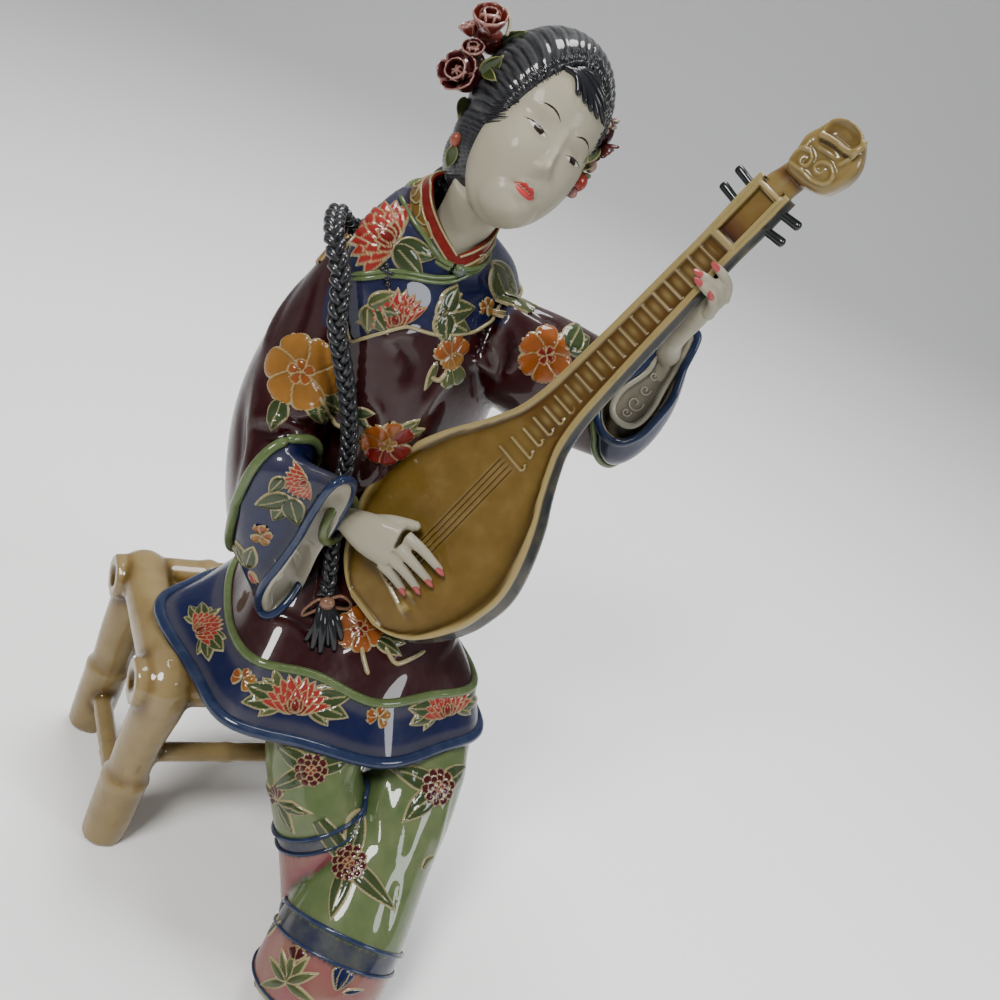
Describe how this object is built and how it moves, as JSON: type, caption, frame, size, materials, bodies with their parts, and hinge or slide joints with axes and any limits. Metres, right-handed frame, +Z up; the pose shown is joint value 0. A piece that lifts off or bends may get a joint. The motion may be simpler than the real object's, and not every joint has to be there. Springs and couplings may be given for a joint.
{
  "type": "pipa player figurine",
  "caption": "Glazed stoneware figurine of a seated woman in a long embroidered jacket playing a pipa on a low bamboo-shaped bench.",
  "frame": {"origin": "on the ground under the middle of the figurine's footprint", "axes": "+Z up, the lady faces -Y, her left is +X, the bench runs along X"},
  "size_m": [0.1958, 0.2068, 0.392],
  "materials": {
    "lady_glazes": "glossy wine, cobalt and celadon glazes, unglazed matte face and hands",
    "honey_glaze": "glossy honey glaze that pools brown",
    "amber_glaze": "glossy amber glaze over a slate back",
    "slate_glaze": "glossy black slate glaze",
    "celadon_glaze": "glossy celadon glaze"
  },
  "bodies": {
    "root": {"lady": "lady_glazes", "bamboo_bench": "honey_glaze", "pipa": "amber_glaze", "tuning_peg_1": "slate_glaze", "tuning_peg_2": "slate_glaze", "tuning_peg_3": "slate_glaze", "tuning_peg_4": "slate_glaze", "bangle": "celadon_glaze"}
  },
  "joints": []
}
